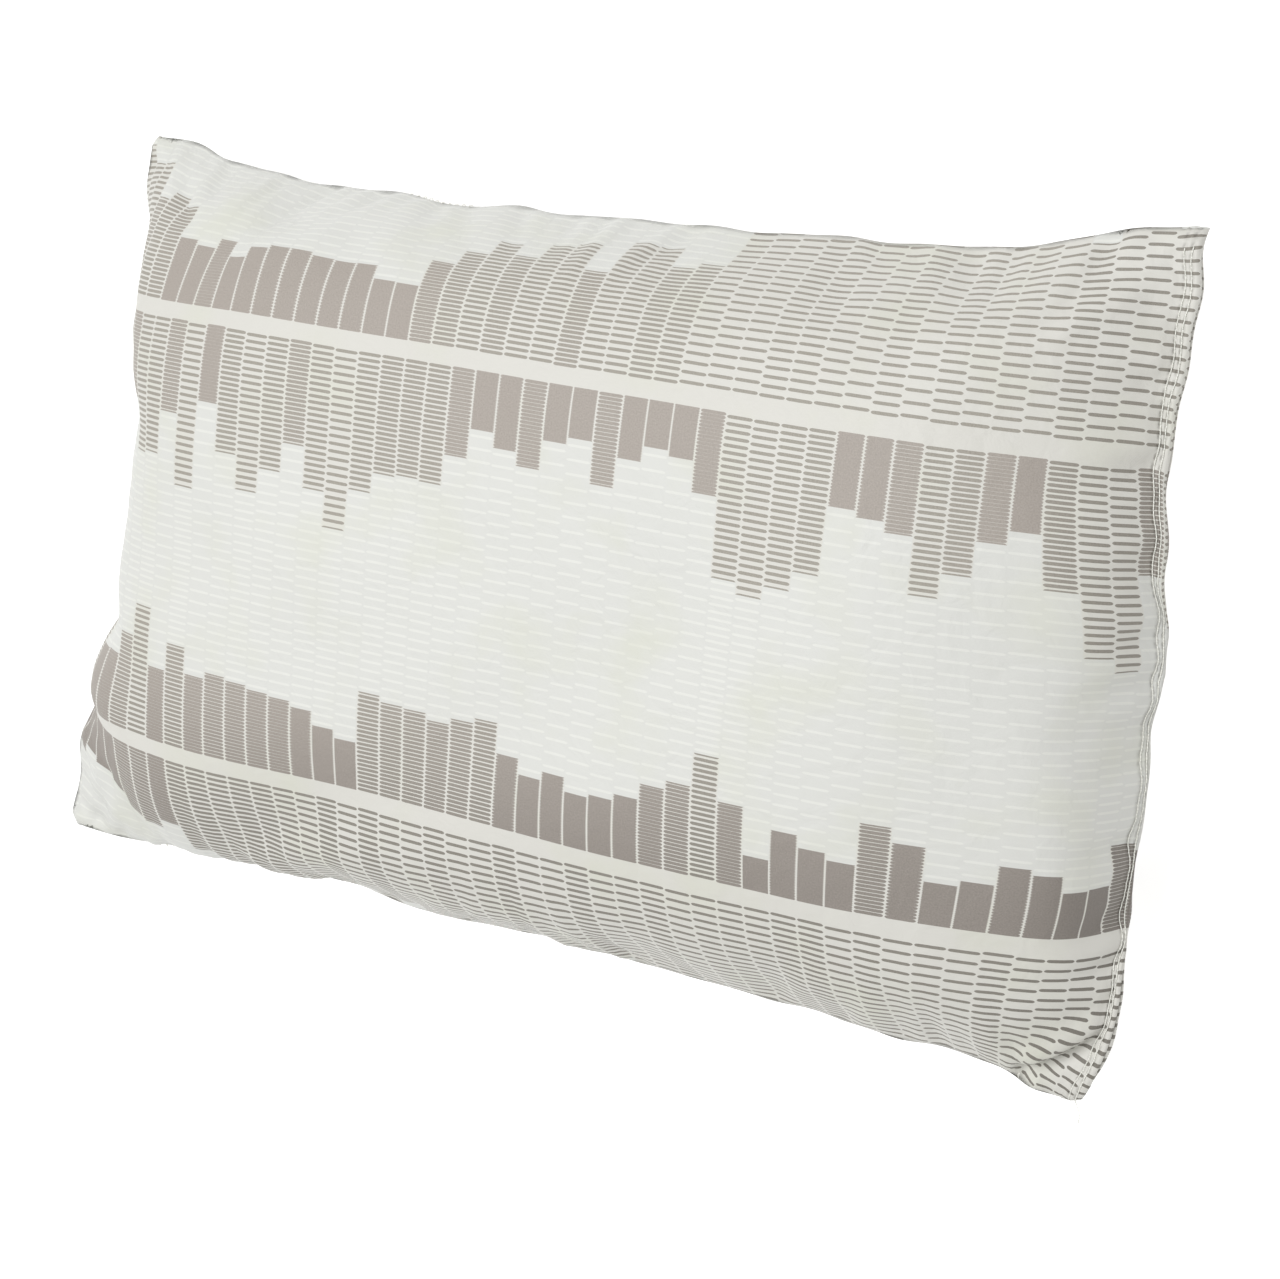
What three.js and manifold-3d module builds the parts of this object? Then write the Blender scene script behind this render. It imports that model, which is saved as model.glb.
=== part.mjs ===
// A camp pillow: two printed cloth panels sewn into a casing and stuffed with loose fibre.
// Three sides are seamed inside out and turned, so their allowances lie inside the casing.
// The fourth side, at +X, is the filling mouth. Its edges are folded in and topstitched flat with two rows.
// Millimetres, +Z up. The pillow lies on its flattened back, with the printed front facing up.

import * as THREE from "three";
import { mergeVertices } from "three/addons/utils/BufferGeometryUtils.js";
import Module from "manifold-3d";

const wasm = await Module();
wasm.setup();

// ---- Overall sizes of the stuffed pillow ----

// Corner to corner along X, with the flat closing hem at +X included.
const pillowLength = 442;
// Corner to corner along Y.
const pillowWidth = 292;
// How far the front bulges above the seam line, and the back below it.
const frontRise = 56;
const backDrop = 44;

// ---- How the stuffing draws the outline in ----

// The middle of each short end and of each long side is pulled in from the line between its corners.
const endPull = 10;
const sidePull = 12;
// The two turned corners at -X are blunt by this much. Those at the mouth stay square.
const cornerBlunt = 4;

// ---- Cloth, seams and thread ----

// A light woven cloth, drawn as a wall thick enough to be a solid.
const clothThickness = 0.8;
// Free space between two neighbouring pieces.
const fitGap = 0.3;
// Width of the seam allowances inside the three turned sides.
const allowanceWidth = 9;
// The overlock thread wraps the raw edges of both allowances, this far back from the edge.
const overlockReach = 4;
const overlockWall = 0.4;
// The closing hem stands out flat from the filling mouth.
const hemWidth = 9;
// How far the hem runs on inside the mouth, where the panels spread apart.
const hemRoot = 3;
// Both stitch rows, measured in from the edge of the hem.
const outerRowInset = 3;
const innerRowInset = 5.6;
const stitchLength = 3.5;
const threadRadius = 0.3;
// At each needle hole the thread narrows to this share of its radius.
const threadNeck = 0.45;
// Where the rows stop short of the hem's corners.
const rowEndInset = 4;

// ---- Fineness of the curved cloth ----

const stepsAlong = 24;
const stepsAcross = 16;
const bulgePower = 2.4;
// The back is pressed flat where it would bulge past this share of its own depth.
const restingShare = 0.9;

const halfLength = pillowLength / 2;
const halfWidth = pillowWidth / 2;
// The two panels meet at the seam line with the fit gap between them.
const panelFace = fitGap / 2;
const hemThickness = 2 * clothThickness;
const allowanceTop = panelFace + clothThickness;
const hemTop = panelFace + hemThickness;
const overlockTop = allowanceTop + fitGap + overlockWall;

// ---- Colours and finishes ----

const printedCloth = new THREE.MeshStandardMaterial({
  color: 0xdcdad2,
  roughness: 0.62,
  metalness: 0,
  name: "printed_cloth",
});
const fillFibre = new THREE.MeshStandardMaterial({
  color: 0xf4f3ef,
  roughness: 0.95,
  metalness: 0,
  name: "fill_fibre",
});
const sewingThread = new THREE.MeshStandardMaterial({
  color: 0xeceae2,
  roughness: 0.55,
  metalness: 0,
  name: "sewing_thread",
});

// ---- Turning three.js shapes into solids and back ----

function toSolid(geometry) {
  const bare = geometry.clone();
  bare.deleteAttribute("normal");
  bare.deleteAttribute("uv");
  const welded = mergeVertices(bare, 1e-4);
  const mesh = new wasm.Mesh({
    numProp: 3,
    vertProperties: new Float32Array(welded.attributes.position.array),
    triVerts: new Uint32Array(welded.index.array),
  });
  mesh.merge();
  return new wasm.Manifold(mesh);
}

function toGeometry(solid) {
  const mesh = solid.getMesh();
  const geometry = new THREE.BufferGeometry();
  geometry.setAttribute("position", new THREE.BufferAttribute(new Float32Array(mesh.vertProperties), 3));
  geometry.setIndex(new THREE.BufferAttribute(new Uint32Array(mesh.triVerts), 1));
  geometry.computeVertexNormals();
  return geometry;
}

// ---- The outline of the pillow in plan ----

// How much an edge is pulled in at a share s along it, from -1 at one corner to +1 at the other.
function pulledIn(depth, s) {
  return depth * (1 - s * s);
}

// A point of the stuffed part. u runs from the far seam at -1 to the mouth at +1, and v from side to side.
function bulgePoint(u, v, inset) {
  const left = -halfLength + pulledIn(endPull, v) + inset;
  const right = halfLength - hemWidth - pulledIn(endPull, v) - inset;
  const side = halfWidth - pulledIn(sidePull, u) - inset;
  const blunt = u < 0 ? cornerBlunt * Math.pow(Math.abs(u * v), 16) : 0;
  const x = THREE.MathUtils.lerp(left, right, (u + 1) / 2) + blunt;
  const y = v * side - Math.sign(v) * blunt;
  return new THREE.Vector2(x, y);
}

// Grid lines crowd towards the edges, where the cloth curves most.
function gridShare(step, steps) {
  return Math.sin((Math.PI / 2) * ((2 * step) / steps - 1));
}

// ---- The bulge of the stuffed cloth ----

// 1 in the middle of the pillow, falling to 0 all round its edge.
function fullness(u, v) {
  const along = 1 - Math.pow(Math.abs(u), bulgePower);
  const across = 1 - Math.pow(Math.abs(v), bulgePower);
  return Math.sqrt(Math.max(0, along * across));
}

function frontHeight(u, v, inset) {
  return (frontRise - inset) * fullness(u, v);
}

// The back is the same shape, pressed flat where the pillow rests on it.
function backHeight(u, v, inset) {
  const pressed = Math.min(1, fullness(u, v) / restingShare);
  return (backDrop - inset) * (1 - (1 - pressed) * (1 - pressed));
}

// A closed body between two grids that share their rim. topAt and bottomAt give the heights.
function bulgeBody(inset, topAt, bottomAt) {
  const positions = [];
  const index = [];
  const row = stepsAcross + 1;
  const layer = (stepsAlong + 1) * row;
  for (const heightAt of [topAt, bottomAt]) {
    for (let i = 0; i <= stepsAlong; i++) {
      for (let j = 0; j <= stepsAcross; j++) {
        const u = gridShare(i, stepsAlong);
        const v = gridShare(j, stepsAcross);
        const p = bulgePoint(u, v, inset);
        positions.push(p.x, p.y, heightAt(u, v));
      }
    }
  }
  for (let i = 0; i < stepsAlong; i++) {
    for (let j = 0; j < stepsAcross; j++) {
      const a = i * row + j;
      const b = a + row;
      index.push(a, b, b + 1, a, b + 1, a + 1);
      index.push(layer + a, layer + b + 1, layer + b, layer + a, layer + a + 1, layer + b + 1);
    }
  }
  const rim = [];
  for (let i = 0; i < stepsAlong; i++) rim.push(i * row);
  for (let j = 0; j < stepsAcross; j++) rim.push(stepsAlong * row + j);
  for (let i = stepsAlong; i > 0; i--) rim.push(i * row + stepsAcross);
  for (let j = stepsAcross; j > 0; j--) rim.push(j);
  rim.forEach((a, k) => {
    const b = rim[(k + 1) % rim.length];
    index.push(a, layer + a, layer + b, a, layer + b, b);
  });
  const geometry = new THREE.BufferGeometry();
  geometry.setAttribute("position", new THREE.Float32BufferAttribute(positions, 3));
  geometry.setIndex(index);
  return toSolid(geometry);
}

// ---- Flat slabs that follow the outline ----

function slab(points, bottom, top) {
  const shape = new THREE.Shape(points);
  const geometry = new THREE.ExtrudeGeometry(shape, { depth: top - bottom, bevelEnabled: false });
  geometry.translate(0, 0, bottom);
  return toSolid(geometry);
}

// The line round the three turned sides, from the mouth at -Y to the mouth at +Y, at an inset from the seam.
function turnedSides(inset, mouthInset) {
  const points = [];
  const lastU = 1 - (2 * mouthInset) / (pillowLength - hemWidth);
  for (let i = stepsAlong; i >= 0; i--) {
    const u = Math.min(lastU, gridShare(i, stepsAlong));
    points.push(bulgePoint(u, -1, inset));
  }
  for (let j = 1; j < stepsAcross; j++) {
    points.push(bulgePoint(-1, gridShare(j, stepsAcross), inset));
  }
  for (let i = 0; i <= stepsAlong; i++) {
    const u = Math.min(lastU, gridShare(i, stepsAlong));
    points.push(bulgePoint(u, 1, inset));
  }
  return points.filter((p, k) => k === 0 || p.distanceTo(points[k - 1]) > 0.01);
}

// A flat band round the three turned sides, between two insets.
function turnedBand(nearInset, farInset, mouthInset, bottom, top) {
  const near = turnedSides(nearInset, mouthInset);
  const far = turnedSides(farInset, mouthInset);
  return slab([...near, ...far.reverse()], bottom, top);
}

// The outer edge of the closing hem at a share v along it, moved in by an inset.
function hemEdge(v, inset, endInset) {
  const x = halfLength - pulledIn(endPull, v) - inset;
  return new THREE.Vector2(x, v * (halfWidth - endInset));
}

// The flat hem, from a distance inside its edge to the edge.
function hemBand(nearInset, farInset, endInset, bottom, top) {
  const near = [];
  const far = [];
  for (let j = 0; j <= stepsAcross; j++) {
    const v = (2 * j) / stepsAcross - 1;
    near.push(hemEdge(v, nearInset, endInset));
    far.push(hemEdge(v, farInset, endInset));
  }
  return slab([...far, ...near.reverse()], bottom, top);
}

// ---- Thread ----

const rowSpan = 2 * (halfWidth - rowEndInset);

// A groove pressed into the hem by one row of stitches.
function threadGroove(rowInset, height) {
  const points = [];
  for (let j = 0; j <= stepsAcross; j++) {
    const v = (2 * j) / stepsAcross - 1;
    const p = hemEdge(v, rowInset, rowEndInset - 2 * fitGap);
    points.push(new THREE.Vector3(p.x, p.y, height));
  }
  const section = new THREE.Shape();
  section.absarc(0, 0, threadRadius + fitGap, 0, 2 * Math.PI, false);
  const path = new THREE.CatmullRomCurve3(points);
  const geometry = new THREE.ExtrudeGeometry(section, {
    steps: stepsAcross,
    curveSegments: 4,
    extrudePath: path,
    bevelEnabled: false,
  });
  return toSolid(geometry);
}

// One thread of a row: full over each stitch and drawn thin at each needle hole. It follows the hem's edge.
function threadRow(rowInset, height) {
  const stitches = Math.round(rowSpan / stitchLength);
  const profile = [new THREE.Vector2(0, -rowSpan / 2)];
  for (let k = 0; k <= 2 * stitches; k++) {
    const isHole = k % 2 === 0;
    const along = -rowSpan / 2 + (rowSpan * (k + 0.001)) / (2 * stitches + 0.002);
    profile.push(new THREE.Vector2(isHole ? threadRadius * threadNeck : threadRadius, along));
  }
  profile.push(new THREE.Vector2(0, rowSpan / 2));
  const geometry = new THREE.LatheGeometry(profile, 4);
  const position = geometry.attributes.position;
  for (let k = 0; k < position.count; k++) {
    const v = position.getY(k) / (rowSpan / 2);
    const p = hemEdge(v, rowInset, rowEndInset);
    position.setXYZ(k, p.x + position.getX(k), p.y, height + position.getZ(k));
  }
  return toSolid(geometry);
}

// ---- The two cloth panels ----

// The outer skin, less everything that lies more than one cloth thickness inside it.
const frontSkin = bulgeBody(
  0,
  (u, v) => panelFace + frontHeight(u, v, 0),
  () => panelFace - 0.01,
);
const frontHollow = bulgeBody(
  clothThickness,
  (u, v) => panelFace + frontHeight(u, v, clothThickness),
  () => -clothThickness,
);
const backSkin = bulgeBody(
  0,
  () => -panelFace + 0.01,
  (u, v) => -panelFace - backHeight(u, v, 0),
);
const backHollow = bulgeBody(
  clothThickness,
  () => clothThickness,
  (u, v) => -panelFace - backHeight(u, v, clothThickness),
);

// Inside the mouth the hem's folded edge runs on as far as its root.
const hemFar = hemWidth + hemRoot;

function clothPanel(skin, hollow, side) {
  const low = side > 0 ? panelFace : -allowanceTop;
  const high = side > 0 ? allowanceTop : -panelFace;
  const hemLow = side > 0 ? panelFace : -hemTop;
  const hemHigh = side > 0 ? hemTop : -panelFace;
  const allowance = turnedBand(0, allowanceWidth, 0, low, high);
  const hem = hemBand(0, hemFar, 0, hemLow, hemHigh);
  const outerGroove = threadGroove(outerRowInset, side * hemTop);
  const innerGroove = threadGroove(innerRowInset, side * hemTop);
  return skin.subtract(hollow).add(allowance).add(hem).subtract(outerGroove).subtract(innerGroove);
}

const frontPanel = clothPanel(frontSkin, frontHollow, 1);
const backPanel = clothPanel(backSkin, backHollow, -1);

// ---- The overlock thread round the raw edges of the allowances ----

const overlockMouthInset = hemRoot + 4;
const overlockBody = turnedBand(
  allowanceWidth - overlockReach,
  allowanceWidth + fitGap + overlockWall,
  overlockMouthInset,
  -overlockTop,
  overlockTop,
);
const overlockThroat = turnedBand(
  allowanceWidth - overlockReach - 1,
  allowanceWidth + fitGap,
  overlockMouthInset - 2,
  -allowanceTop - fitGap,
  allowanceTop + fitGap,
);
const overlock = overlockBody.subtract(overlockThroat);

// ---- The fibre fill ----

// It fills the casing up to the fit gap, and is pressed apart round the allowances, the overlock and the hem.
const fillInset = clothThickness + fitGap;
const fillBulge = bulgeBody(
  fillInset,
  (u, v) => panelFace + frontHeight(u, v, fillInset),
  (u, v) => -panelFace - backHeight(u, v, fillInset),
);
const seamRoom = turnedBand(
  -2,
  allowanceWidth + 2 * fitGap + overlockWall,
  -4,
  -overlockTop - fitGap,
  overlockTop + fitGap,
);
const hemRoom = hemBand(-2, hemFar + fitGap, -2, -hemTop - fitGap, hemTop + fitGap);
const fill = fillBulge.subtract(seamRoom).subtract(hemRoom);

// ---- The assembly ----

function piece(name, solid, material) {
  const mesh = new THREE.Mesh(toGeometry(solid), material);
  mesh.name = name;
  return mesh;
}

const casing = new THREE.Group();
casing.name = "casing";
casing.add(piece("front_panel", frontPanel, printedCloth));
casing.add(piece("back_panel", backPanel, printedCloth));
casing.add(piece("seam_overlock_thread", overlock, sewingThread));

const closing = new THREE.Group();
closing.name = "closing_stitches";
closing.add(piece("outer_row_needle_thread", threadRow(outerRowInset, hemTop), sewingThread));
closing.add(piece("outer_row_bobbin_thread", threadRow(outerRowInset, -hemTop), sewingThread));
closing.add(piece("inner_row_needle_thread", threadRow(innerRowInset, hemTop), sewingThread));
closing.add(piece("inner_row_bobbin_thread", threadRow(innerRowInset, -hemTop), sewingThread));

const pillow = new THREE.Group();
pillow.name = "camp_pillow";
pillow.add(casing);
pillow.add(closing);
pillow.add(piece("fibre_fill", fill, fillFibre));
// The origin is under the middle of the pillow's box, where the flattened back rests at height zero.
const middle = new THREE.Box3().setFromObject(pillow).getCenter(new THREE.Vector3());
pillow.position.set(-middle.x, -middle.y, backDrop + panelFace);
pillow.updateMatrixWorld(true);

export default pillow;
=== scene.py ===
# %% [markdown]
# # A camp pillow
#
# A small stuffed pillow: two panels of light printed cloth, turned seams on three sides, a topstitched
# hem on the fourth, and loose fibre inside. A pillow gets its shape from how it is made. Flat cloth is
# sewn at the edge and pushed out by the filling, so this lesson does the same: it sews two flat sheets,
# lets the Cloth solver puff them up, and then adds hem, stitches, filling and print.
#
# The frame comes first. It is the working model of the part, and every visual piece takes its place.

# %% Load the frame
import math
import bpy
import numpy as np
from mathutils import Matrix, Vector


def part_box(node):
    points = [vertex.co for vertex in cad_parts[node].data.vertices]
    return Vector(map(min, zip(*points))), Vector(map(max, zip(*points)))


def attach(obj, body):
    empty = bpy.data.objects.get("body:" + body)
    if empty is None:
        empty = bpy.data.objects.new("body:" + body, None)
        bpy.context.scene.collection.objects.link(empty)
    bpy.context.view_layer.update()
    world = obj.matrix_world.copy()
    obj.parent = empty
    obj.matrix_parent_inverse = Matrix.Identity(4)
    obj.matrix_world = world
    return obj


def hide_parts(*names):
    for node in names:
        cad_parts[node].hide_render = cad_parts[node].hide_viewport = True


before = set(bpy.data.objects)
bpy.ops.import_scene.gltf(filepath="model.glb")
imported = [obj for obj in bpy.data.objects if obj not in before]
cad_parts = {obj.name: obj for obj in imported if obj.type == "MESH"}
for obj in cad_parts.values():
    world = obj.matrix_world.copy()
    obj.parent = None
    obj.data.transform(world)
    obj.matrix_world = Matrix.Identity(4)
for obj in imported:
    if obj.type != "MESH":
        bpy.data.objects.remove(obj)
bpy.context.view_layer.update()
scene = bpy.context.scene

# %% [markdown]
# ## The cut of the cloth
#
# Each panel is a rectangle. On a real pillow both are cut from one cloth and sewn face to face, so the
# front and the back share the same seam. Here they are two grids that share the points of the seam. A
# cell of 4.5 mm is fine enough for the creases that a pillow this size gets at its corners.

# %% Two flat sheets that share a seam
panel_length = 0.457
panel_width = 0.305
cell = 0.0045
hem_cells = 2
corner_round = 0.005

columns = round(panel_length / cell)
rows = round(panel_width / cell)
i, j = np.meshgrid(np.arange(columns + 1), np.arange(rows + 1), indexing="ij")
flat_x = (i / columns - 0.5) * panel_length
flat_y = (j / rows - 0.5) * panel_width
sewn = (i == 0) | (i > columns - hem_cells) | (j == 0) | (j == rows)
front_index = np.arange(i.size).reshape(i.shape)
back_index = front_index.copy()
back_index[~sewn] = i.size + np.arange((~sewn).sum())
print("cloth grid", columns, "by", rows, "cells,", int(back_index.max()) + 1, "points")

# %% [markdown]
# The two left corners are turned inside out after sewing, and no one pushes them out to a perfect point.
# So they are cut slightly round. The two right corners belong to the hem and stay square.

# %% Round the turned corners
past_x = (-flat_x - (panel_length / 2 - corner_round)) / corner_round
past_y = (np.abs(flat_y) - (panel_width / 2 - corner_round)) / corner_round
turned = (past_x > 0) & (past_y > 0)
round_x = past_x * np.sqrt(np.clip(1 - past_y ** 2 / 2, 0, 1))
round_y = past_y * np.sqrt(np.clip(1 - past_x ** 2 / 2, 0, 1))
flat_x = np.where(turned, -(panel_length / 2 - corner_round + round_x * corner_round), flat_x)
flat_y = np.where(
    turned, np.copysign(panel_width / 2 - corner_round + round_y * corner_round, flat_y), flat_y)
print("points moved by the rounding", int(turned.sum()))

# %% [markdown]
# ## Something to start from
#
# Perfectly flat sheets would puff up like a balloon, with no creases. Real filling is lumpy, so each
# sheet starts with a few long soft waves and a trace of noise. One wave takes a full turn, about 6.28
# radians. The seed makes each run the same.

# %% The starting shape
luck = np.random.default_rng(3)
full_turn = 6.28
lump_count = 14
lump_height = 0.0002
crown_height = 0.002
crown_squareness = 2.4
lint = 0.00005
lump_waves = [
    (luck.uniform(1, 9), luck.uniform(1, 7), luck.uniform(0, full_turn), luck.uniform(0, full_turn))
    for _ in range(lump_count)]


def start_height(x, y, side):
    over_length = 1 - np.abs(2 * i / columns - 1) ** crown_squareness
    over_width = 1 - np.abs(2 * j / rows - 1) ** crown_squareness
    crown = (over_length * over_width) ** 0.5
    lumps = sum(
        np.sin(full_turn * a * x / panel_length + c + side * 1.3)
        * np.sin(full_turn * b * y / panel_width + d + side * 2.1)
        for a, b, c, d in lump_waves)
    return (crown_height if side == 0 else -crown_height) * crown + lump_height * lumps


start = np.zeros((back_index.max() + 1, 3))
for side, index in ((1, back_index), (0, front_index)):
    start[index] = np.stack([flat_x, flat_y, start_height(flat_x, flat_y, side)], -1)
flat_place = start[:, :2].copy()
start[:, 2] += luck.normal(0, lint, len(start))


def quads(index, outward):
    ring = np.stack([index[:-1, :-1], index[1:, :-1], index[1:, 1:], index[:-1, 1:]], -1)
    ring = ring.reshape(-1, 4)
    return ring if outward else ring[:, ::-1]


sheet_mesh = bpy.data.meshes.new("sewn_sheets")
sheet_mesh.from_pydata(
    start.tolist(), [], np.vstack([quads(front_index, True), quads(back_index, False)]).tolist())
sheets = bpy.data.objects.new("sewn_sheets", sheet_mesh)
scene.collection.objects.link(sheets)
print("faces", len(sheet_mesh.polygons))

# %% [markdown]
# ## Where the corners go
#
# When a pillow fills, its edges draw inwards and the corners stay behind as little ears. Each ear is
# also folded a bit by handling. Pinned patches at the four corners follow a shape key, which carries
# each one to its place while the cloth fills. The rest of the cloth is free.

# %% Guide the four corners
corner_places = {
    (-1, 1): (-0.209, 0.146, 0.0),
    (1, 1): (0.219, 0.147, 0.0),
    (1, -1): (0.204, -0.147, 0.003),
    (-1, -1): (-0.238, -0.119, 0.010),
}
patch_radius = 0.010
carried_by = 20

sheets.shape_key_add(name="Basis")
corner_key = sheets.shape_key_add(name="corners")
moved = start.copy()
held = []
for (way_x, way_y), place in corner_places.items():
    cut_corner = np.array([way_x * panel_length / 2, way_y * panel_width / 2])
    near = np.where(np.hypot(*(flat_place - cut_corner).T) < patch_radius)[0]
    moved[near, :2] += np.array(place[:2]) - cut_corner
    moved[near, 2] += place[2]
    held += near.tolist()
corner_key.data.foreach_set("co", moved.astype(np.float32).ravel())
for at_frame, amount in ((1, 0.0), (carried_by, 1.0)):
    corner_key.value = amount
    corner_key.keyframe_insert("value", frame=at_frame)
sheets.vertex_groups.new(name="corners").add(held, 1.0, "REPLACE")
sheets.vertex_groups.new(name="seam").add(np.unique(front_index[sewn]).tolist(), 1.0, "REPLACE")
print("points held at the corners", len(held))

# %% [markdown]
# ## Fill it
#
# Uniform pressure stands for the fibre. Left alone it would blow the cloth up like a ball, so the air is
# thick, the cloth's own motion is damped, and the clock stops when the pillow is as thick as it should
# be. The seam is stiffer than the cloth and shrinks by a hundredth, as thread under tension does.

# %% Run the cloth solver
last_frame = 23
how_it_behaves = {
    "quality": 7,
    "mass": 0.3,
    "vertex_group_mass": "corners",
    "pin_stiffness": 1,
    "tension_stiffness": 15,
    "compression_stiffness": 15,
    "shear_stiffness": 5,
    "bending_stiffness": 0.5,
    "bending_stiffness_max": 5,
    "vertex_group_bending": "seam",
    "tension_damping": 5,
    "compression_damping": 5,
    "shear_damping": 5,
    "bending_damping": 0.5,
    "air_damping": 3,
    "use_pressure": True,
    "uniform_pressure_force": 6,
    "vertex_group_shrink": "seam",
    "shrink_min": 0,
    "shrink_max": 0.01,
}
cloth = sheets.modifiers.new("cloth", "CLOTH")
for setting, value in how_it_behaves.items():
    setattr(cloth.settings, setting, value)
cloth.settings.effector_weights.gravity = 0
cloth.collision_settings.use_collision = False
scene.frame_start = 1
scene.frame_end = last_frame
cloth.point_cache.frame_start = 1
cloth.point_cache.frame_end = last_frame + 2
for step_frame in range(1, last_frame + 1):
    scene.frame_set(step_frame)
filled = sheets.evaluated_get(bpy.context.evaluated_depsgraph_get()).data
points = np.zeros(len(filled.vertices) * 3, np.float32)
filled.vertices.foreach_get("co", points)
points = points.reshape(-1, 3).astype(float)
bpy.data.objects.remove(sheets)
scene.frame_set(1)
print("filled size", (np.ptp(points, axis=0) * 1000).round(1), "mm")

# %% [markdown]
# ## Ease the crumples
#
# The solver crumples the ears into tight little folds. On a pillow that has been handled they open out
# again, and the fibre holds the middle of each face smooth. Each point moves towards the mean of its
# neighbours, most near the corners and over the middle, least on the steep sides. The seam only slides
# along itself and the four tips stay.

# %% Where the cloth gives
to_side = panel_width / 2 - np.abs(flat_y)
to_left = flat_x + panel_length / 2
to_hem = panel_length / 2 - flat_x
to_corner = np.hypot(np.minimum(to_left, to_hem), to_side)
to_edge = np.minimum(np.minimum(to_left, to_hem), to_side)
ear_size = 0.055
over_middle = np.clip((to_edge - 0.035) / 0.045, 0, 1)
give = 0.5 * np.exp(-(to_corner / ear_size) ** 2) + 0.10 * np.exp(-to_edge / 0.03) + 0.02
give += 0.42 * over_middle ** 2 * (3 - 2 * over_middle)
print("share of a step, least", round(give.min(), 2), "most", round(give.max(), 2))

# %% Smooth the ears and the edges
easing_steps = 60
front = points[front_index]
back = points[back_index]
for _ in range(easing_steps):
    for grid in (front, back):
        mean = grid.copy()
        mean[1:-1, 1:-1] = (grid[2:, 1:-1] + grid[:-2, 1:-1] + grid[1:-1, 2:] + grid[1:-1, :-2]) / 4
        for line in (0, -1):
            mean[1:-1, line] = (grid[2:, line] + grid[:-2, line]) / 2
            mean[line, 1:-1] = (grid[line, 2:] + grid[line, :-2]) / 2
        grid += (mean - grid) * give[..., None]
    front[sewn] = back[sewn] = (front[sewn] + back[sewn]) / 2
print("eased by up to", round(float(np.abs(front - points[front_index]).max()) * 1000, 1), "mm")

# %% [markdown]
# The solver knows nothing of hands. A stitched hem of four layers keeps straighter than it thinks and
# hangs lower, and the lower left corner is pushed outwards where the fibre has slumped. Each tug names a
# place on the flat cloth, how far it reaches along and across, and which way it pulls, in millimetres.

# %% Tug the cloth
tugs = {
    "hem": ((228, -45), (75, 75), (9, 0, -8)),
    "top seam": ((10, 152), (190, 45), (0, -5, 0)),
    "bottom seam": ((-80, -152), (150, 50), (0, -5, 0)),
    "slumped side": ((-228, -87), (50, 36), (-12, -1, 0)),
    "left seam": ((-228, 20), (50, 60), (5, 0, 0)),
    "lower left seam": ((-185, -152), (40, 30), (0, -4, 0)),
    "upper left seam": ((-180, 152), (75, 30), (0, 3, 0)),
    "hem above the middle": ((228, 22), (40, 40), (4, 0, 0)),
    "hem below the middle": ((228, -100), (40, 28), (-2, 0, 0)),
    "lower right ear": ((218, -150), (26, 24), (-2, -6, 0)),
}
for name, (at, reach, pull) in tugs.items():
    away = ((flat_x * 1000 - at[0]) / reach[0]) ** 2 + ((flat_y * 1000 - at[1]) / reach[1]) ** 2
    shift = np.exp(-away ** 2)[..., None] * np.array(pull) / 1000
    front += shift
    back += shift
print("tugs", len(tugs))

# %% [markdown]
# The lower right ear is bent: it drops behind the crown and twists, so the print on it runs at a slant.
# A turn about an upright line a few centimetres inside the corner does this, fading out with distance.

# %% Bend the lower right ear
ear_turn = math.radians(-18)
ear_drop = 0.012
ear_gather = 0.1
ear_share = np.clip(1 - np.hypot(to_hem, flat_y + panel_width / 2) / ear_size, 0, 1)
ear_share = ear_share ** 2 * (3 - 2 * ear_share)
hinge = front[-9, 8, :2].copy()
for grid in (front, back):
    arm = (grid[..., :2] - hinge) * (1 - ear_gather * ear_share)[..., None]
    turned_by = ear_turn * ear_share
    grid[..., 0] = hinge[0] + arm[..., 0] * np.cos(turned_by) - arm[..., 1] * np.sin(turned_by)
    grid[..., 1] = hinge[1] + arm[..., 0] * np.sin(turned_by) + arm[..., 1] * np.cos(turned_by)
    grid[..., 2] -= ear_drop * ear_share
print("ear tip at", (front[-1, 0] * 1000).round(1), "mm")

# %% [markdown]
# All four tips curl under a little, and the bent one most. The last centimetre of cloth rolls round a
# small bend, like the corner of a page, so no ear ends in a hard point. Each corner of the grid has the
# length that rolls and the radius of the bend.

# %% Curl the tips
tip_curls = {
    (-1, 0): (0.012, 0.008),
    (-1, -1): (0.008, 0.006),
    (0, -1): (0.007, 0.006),
    (0, 0): (0.007, 0.006),
}
inwards = {0: 13, -1: -14}
for (at_i, at_j), (length, radius) in tip_curls.items():
    tip = front[at_i, at_j, :2].copy()
    way_out = tip - front[inwards[at_i], inwards[at_j], :2]
    way_out /= np.linalg.norm(way_out)
    near_tip = np.hypot(flat_x - flat_x[at_i, at_j], flat_y - flat_y[at_i, at_j]) < ear_size
    for grid in (front, back):
        rolled = np.clip(length - (tip - grid[..., :2]) @ way_out, 0, None) * near_tip
        grid[..., :2] += (radius * np.sin(rolled / radius) - rolled)[..., None] * way_out
        grid[..., 2] -= radius * (1 - np.cos(rolled / radius))
print("tips curled", len(tip_curls))

# %% [markdown]
# ## Lay it down
#
# The solver ran in mid air. The pillow lies on its back, so the seam goes to the height that the frame
# gives it, and the lowest part of the back spreads flat against the ground. A soft floor does that: it
# bends the height smoothly instead of cutting it off.

# %% Put the seam at its height and flatten the back
low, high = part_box("seam_overlock_thread")
seam_height = (low.z + high.z) / 2
floor_softness = 0.0025
floor_sink = 0.0006


def lay_down(place):
    place = place.copy()
    height = place[..., 2] + seam_height
    place[..., 2] = floor_softness * np.logaddexp(0, (height + floor_sink) / floor_softness)
    return place


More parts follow.
